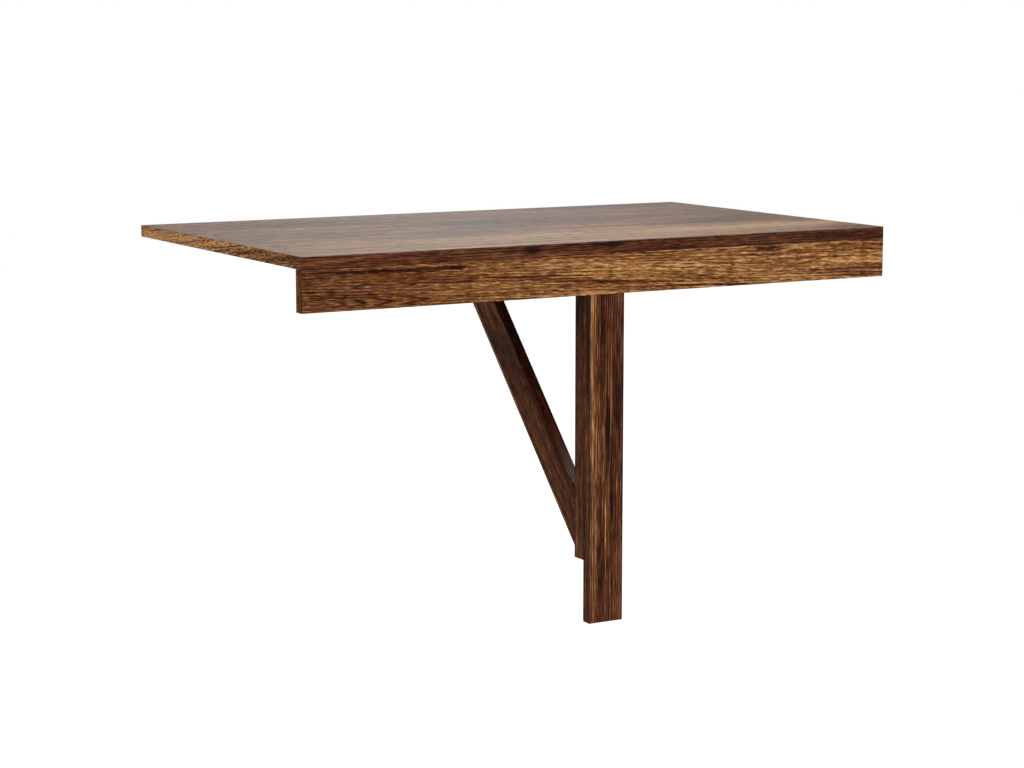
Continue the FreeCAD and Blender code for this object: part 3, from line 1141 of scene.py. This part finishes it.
@dataclass
class HingeSet(Assembly):
    """The five butt hinges and their screws.

    Each screw is a countersunk chipboard screw. Its recess is cut by a cross-shaped pyramid that
    starts a little above the head. Places are rounded to some digits of a metre to sort them.
    """

    plate: ZincPlatedSteel = ZincPlatedSteel()
    pin: DrawnSteel = DrawnSteel()
    screw: ZincPlatedSteel = ZincPlatedSteel("zinc_plated_screw", roughness=0.36)
    head_diameter: float = 6.0
    head_height: float = 1.5
    head_edge: float = 0.15
    neck: float = 0.1
    shank_diameter: float = 2.2
    thread_diameter: float = 3.0
    thread_pitch: float = 1.25
    thread_steepness: float = 1.6
    length: float = 15.0
    point_length: float = 2.5
    point_bluntness: float = 0.05
    recess_reach: float = 1.7
    recess_width: float = 0.7
    recess_depth: float = 1.3
    recess_rise: float = 0.3
    first_turn: float = 11.0
    next_turn: float = 37.0
    merge_distance: float = 0.01
    digits: int = 5
    round_steps: int = 20
    thread_steps: int = 6

    HINGES: ClassVar[Sequence[str]] = (
        "leaf_hinge_left",
        "leaf_hinge_middle",
        "leaf_hinge_right",
        "bracket_hinge_upper",
        "bracket_hinge_lower",
    )
    SCREWS: ClassVar[Mapping[str, tuple[str, Vector]]] = {
        "leaf_hinge_shelf_screws": ("wall_frame", Vector((0, 0, -1))),
        "leaf_hinge_leaf_screws": ("leaf", Vector((0, 0, -1))),
        "bracket_hinge_post_screws": ("wall_frame", Vector((0, 1, 0))),
        "bracket_hinge_upright_screws": ("bracket", Vector((1, 0, 0))),
    }

    def screw_radius(self, depth: float, turn: float) -> float:
        """The screw's radius under its head.

        Args:
            depth: Millimetres below the head's face.
            turn: Direction round the screw, in turns.

        Returns:
            The radius in millimetres, ridge of the thread included.
        """
        core = self.shank_diameter / 2
        taper = min(1.0, max(self.point_bluntness, (self.length - depth) / self.point_length))
        phase = (depth / self.thread_pitch - turn) % 1.0
        ridge = max(0.0, 1 - abs(2 * phase - 1) * self.thread_steepness)
        start = min(1.0, max(0.0, (depth - self.head_height) / self.thread_pitch))
        return taper * (core + (self.thread_diameter / 2 - core) * ridge * start)

    def screw_mesh(self) -> Mesh:
        """Models one screw: head up at the origin, shank down, cross recess cut.

        Returns:
            The screw's mesh.
        """
        steps = self.round_steps
        turns = [i / steps for i in range(steps)]
        head = (
            (0.0, self.head_diameter / 2 - self.head_edge),
            (self.head_edge, self.head_diameter / 2),
            (self.head_height, self.shank_diameter / 2 + self.neck),
        )
        rings = [(depth, [radius] * steps) for depth, radius in head]
        rise = self.thread_pitch / self.thread_steps
        for i in range(int((self.length - self.head_height) / rise)):
            depth = self.head_height + (i + 1) * rise
            rings.append((depth, [self.screw_radius(depth, turn) for turn in turns]))
        bm = bmesh.new()
        loops = []
        for depth, radii in rings:
            loop = []
            for turn, radius in zip(turns, radii):
                x, y = radius * math.cos(math.tau * turn), radius * math.sin(math.tau * turn)
                loop.append(bm.verts.new(Vector((x, y, -depth)) * MM))
            loops.append(loop)
        for upper, lower in zip(loops, loops[1:]):
            for i in range(steps):
                bm.faces.new((upper[i - 1], lower[i - 1], lower[i], upper[i]))
        bm.faces.new(loops[0])
        bm.faces.new(loops[-1][::-1])
        bmesh.ops.recalc_face_normals(bm, faces=bm.faces)
        return self._recessed(to_mesh(bm, "screw"))

    def _recessed(self, mesh: Mesh) -> Mesh:
        """Cuts the cross recess into a screw's head.

        Args:
            mesh: The screw without it.

        Returns:
            The new mesh.
        """
        reach, half = self.recess_reach, self.recess_width / 2
        quarter = [(reach, half), (half, half), (half, reach)]
        bm = bmesh.new()
        top = []
        for _ in range(4):
            top += [bm.verts.new(Vector((x, y, self.recess_rise)) * MM) for x, y in quarter]
            quarter = [(-y, x) for x, y in quarter]
        tip = bm.verts.new(Vector((0.0, 0.0, -self.recess_depth)) * MM)
        bm.faces.new(top)
        for i, vertex in enumerate(top):
            bm.faces.new((top[i - 1], tip, vertex))
        bmesh.ops.recalc_face_normals(bm, faces=bm.faces)
        cutter = put("recess", to_mesh(bm, "recess"))
        blank = put("screw_blank", mesh)
        cut = blank.modifiers.new("recess", "BOOLEAN")
        cut.object = cutter
        cut.solver = "EXACT"
        bpy.context.view_layer.update()
        graph = bpy.context.evaluated_depsgraph_get()
        result = bpy.data.meshes.new_from_object(blank.evaluated_get(graph))
        for obj in (cutter, blank):
            bpy.data.objects.remove(obj)
        return result

    def screw_places(self, node: Object, outward: Vector) -> list[Vector]:
        """Finds the middle of each screw's head in a CAD group.

        Args:
            node: The group's object.
            outward: The direction in which the heads look.

        Returns:
            The places in metres, in a fixed order.
        """
        bm = bmesh.new()
        bm.from_mesh(node.data)
        bmesh.ops.remove_doubles(bm, verts=bm.verts, dist=self.merge_distance * MM)
        waiting = set(bm.verts)
        places = []
        while waiting:
            island, queue = [], [waiting.pop()]
            while queue:
                vertex = queue.pop()
                island.append(vertex.co)
                joined = {edge.other_vert(vertex) for edge in vertex.link_edges} & waiting
                waiting -= joined
                queue += joined
            low, high = (Vector(map(end, zip(*island))) for end in (min, max))
            middle = (low + high) / 2
            head = max(corner.dot(outward) for corner in island)
            places.append(middle + outward * (head - middle.dot(outward)))
        bm.free()
        return sorted(places, key=lambda place: [round(value, self.digits) for value in place])

    def build_screws(self) -> None:
        """Replaces each group of screws by modelled ones, each turned a little differently."""
        screw = self.screw_mesh()
        material = self.screw.material()
        for name, (body, outward) in self.SCREWS.items():
            upright = outward.to_track_quat("Z", "Y").to_matrix().to_4x4()
            bm = bmesh.new()
            for i, place in enumerate(self.screw_places(self.nodes[name], outward)):
                turn = Matrix.Rotation(math.radians(self.first_turn + i * self.next_turn), 4, "Z")
                one = screw.copy()
                one.transform(Matrix.Translation(place) @ upright @ turn)
                bm.from_mesh(one)
                bpy.data.meshes.remove(one)
            mesh = to_mesh(bm, f"{name}_modelled")
            mesh.materials.append(material)
            piece = put(f"{name}_modelled", mesh)
            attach(piece, body)
            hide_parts(name)
            LOG.info("modelled %s: %d faces", name, len(mesh.polygons))

    def build(self) -> None:
        """Dresses plates and pins and models the screws."""
        plated, bright = self.plate.material(), self.pin.material()
        for hinge in self.HINGES:
            self.dress(plated, f"{hinge}_fixed_plate", f"{hinge}_moving_plate")
            self.dress(bright, f"{hinge}_pin")
        self.build_screws()


@dataclass(frozen=True)
class Softbox:
    """A round area lamp: where it stands, what it looks at, its width and its power."""

    name: str
    place: Triple
    target: Triple
    width: float
    watts: float

    def build(self) -> None:
        """Makes the lamp."""
        lamp = bpy.data.lights.new(self.name, "AREA")
        lamp.shape = "DISK"
        lamp.size = self.width
        lamp.energy = self.watts
        obj = put(self.name, lamp)
        obj.visible_glossy = False
        aim(obj, self.place, Vector(self.target) - Vector(self.place))


@dataclass(frozen=True)
class Glow:
    """A part of the room that gloss sees.

    Attributes:
        towards: The direction in which it lies.
        edge: Cosines of the angles from there at which it starts and is full.
        strength: How bright it is.
    """

    towards: Triple
    edge: Pair
    strength: float

    def shape(self, g: Graph, direction: Any) -> Node:
        """Adds a node that is 1 in the glow and 0 outside it, for a direction."""
        return g.span(g.measure("DOT_PRODUCT", direction, self.towards), self.edge)


@dataclass
class Studio:
    """A plain pale floor at the height of a room's, soft lamps and the camera."""

    floor_below_top: float = 750.0
    floor_width: float = 14.0
    floor_colour: str = "f4f4f2"
    floor_roughness: float = 0.9
    floor_lift: float = 0.6
    white: str = "ffffff"
    sky_strength: float = 0.45
    dim_gloss: float = 0.07
    panel: Glow = Glow((0.44, 0.8, 0.41), (0.72, 0.92), 1.1)
    panel_side: Triple = (0.883, -0.47, 0.0)
    panel_reach: float = 0.2
    room: Sequence[Glow] = (
        Glow((0.1, 0.45, 0.89), (0.3, 0.8), 0.28),
        Glow((0.49, -0.2, 0.85), (0.9, 0.98), 8.0),
        Glow((0.0, 0.0, -1.0), (0.25, 0.7), 0.3),
        Glow((1.0, 0.0, 0.0), (0.74, 0.92), 0.5),
        Glow((-1.0, 0.0, 0.0), (0.74, 0.92), 0.5),
    )
    eye: Triple = (-1.85933, -2.96294, 0.36435)
    heading: float = 29.699
    pitch: float = 8.5946
    lens: float = 84.2176
    sensor: float = 36.0
    lamps: Sequence[Softbox] = (
        Softbox("key_softbox", (-2.2, -2.6, 2.0), (0.0, 0.1, -0.1), 1.8, 60.0),
        Softbox("fill_softbox", (2.6, -2.4, 0.9), (0.0, 0.1, -0.1), 2.0, 30.0),
        Softbox("top_softbox", (0.2, 0.4, 2.4), (0.0, 0.3, 0.0), 1.6, 20.0),
    )

    def build_world(self) -> None:
        """Lights from all round. The eye sees plain white, and gloss sees a room.

        The room is pale overhead, to both sides and straight down, where the floor would be. A
        tall bright panel stands beyond the table, with a small lamp over it. The rest is dim.
        """
        world = bpy.data.worlds.new("studio")
        bpy.context.scene.world = world
        g = Graph(world)
        direction = g.add("TexCoord").outputs["Generated"]
        aside = g.math("ABSOLUTE", g.measure("DOT_PRODUCT", direction, self.panel_side))
        middle = g.span(aside, (self.panel_reach, 0.0))
        panel = g.math("MULTIPLY", self.panel.shape(g, direction), middle)
        parts = [(glow.shape(g, direction), glow.strength) for glow in self.room]
        room = g.weighted_sum(self.dim_gloss, parts + [(panel, self.panel.strength)])
        path = g.add("LightPath").outputs
        mirrored = g.math("MAXIMUM", path["Is Glossy Ray"], path["Is Transmission Ray"])
        strength = g.add("Mix", {0: mirrored, 2: self.sky_strength, 3: room})
        strength = g.add("Mix", {0: path["Is Camera Ray"], 2: strength, 3: 1.0})
        sky = g.add("Background", {"Color": linear(self.white), "Strength": strength})
        g.add("OutputWorld", {"Surface": sky})

    def floor_finish(self) -> Material:
        """Mixes matt paint that looks a little lighter, and that can't be seen from below.

        Returns:
            The material.
        """
        g = Graph.of_material("matt_pale_floor")
        surface = {"Base Color": linear(self.floor_colour), "Roughness": self.floor_roughness}
        matt = g.add("BsdfPrincipled", surface)
        white = g.add("Emission", {"Color": linear(self.white), "Strength": self.floor_lift})
        none = g.add("Emission", {"Strength": 0.0})
        seen = g.add("LightPath").outputs["Is Camera Ray"]
        lifted = g.add("AddShader", {0: matt, 1: g.add("MixShader", {0: seen, 1: none, 2: white})})
        back = g.add("NewGeometry").outputs["Backfacing"]
        sheer = g.add("BsdfTransparent")
        return g.finish(g.add("MixShader", {0: back, 1: lifted, 2: sheer}))

    def build_floor(self) -> None:
        """Lays the floor. It is one-sided, so the table can be seen from below."""
        half = self.floor_width / 2
        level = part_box("fixed_shelf")[1].z - self.floor_below_top * MM
        corners = [(-half, -half), (half, -half), (half, half), (-half, half)]
        mesh = bpy.data.meshes.new("floor")
        mesh.from_pydata([(x, y, level) for x, y in corners], [], [(0, 1, 2, 3)])
        mesh.materials.append(self.floor_finish())
        floor = put("floor", mesh)
        floor.visible_glossy = False

    def build_camera(self) -> None:
        """Sets the camera level in roll, looking down a little from the wall's side."""
        data = bpy.data.cameras.new("camera")
        data.sensor_width = self.sensor
        data.lens = self.lens
        turn, dip = math.radians(self.heading), math.radians(self.pitch)
        camera = put("camera", data)
        aim(camera, self.eye, Vector((math.sin(turn), math.cos(turn), -math.tan(dip))))
        bpy.context.scene.camera = camera

    def build(self) -> None:
        """Builds world, floor, lamps and camera."""
        self.build_world()
        self.build_floor()
        for lamp in self.lamps:
            lamp.build()
        self.build_camera()
        bpy.context.scene.view_settings.view_transform = "Standard"
        LOG.info("studio with %d lamps", len(self.lamps))


def main() -> None:
    """Dresses the table and sets the studio up round it."""
    logging.basicConfig(level=logging.INFO, format="%(name)s: %(message)s")
    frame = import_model()
    nodes = frame["nodes"]
    for assembly in (TableTop(nodes), WallFrame(nodes), GateBracket(nodes), HingeSet(nodes)):
        assembly.build()
        LOG.info("built %s", type(assembly).__name__)
    Studio().build()


if __name__ == "__main__":
    main()
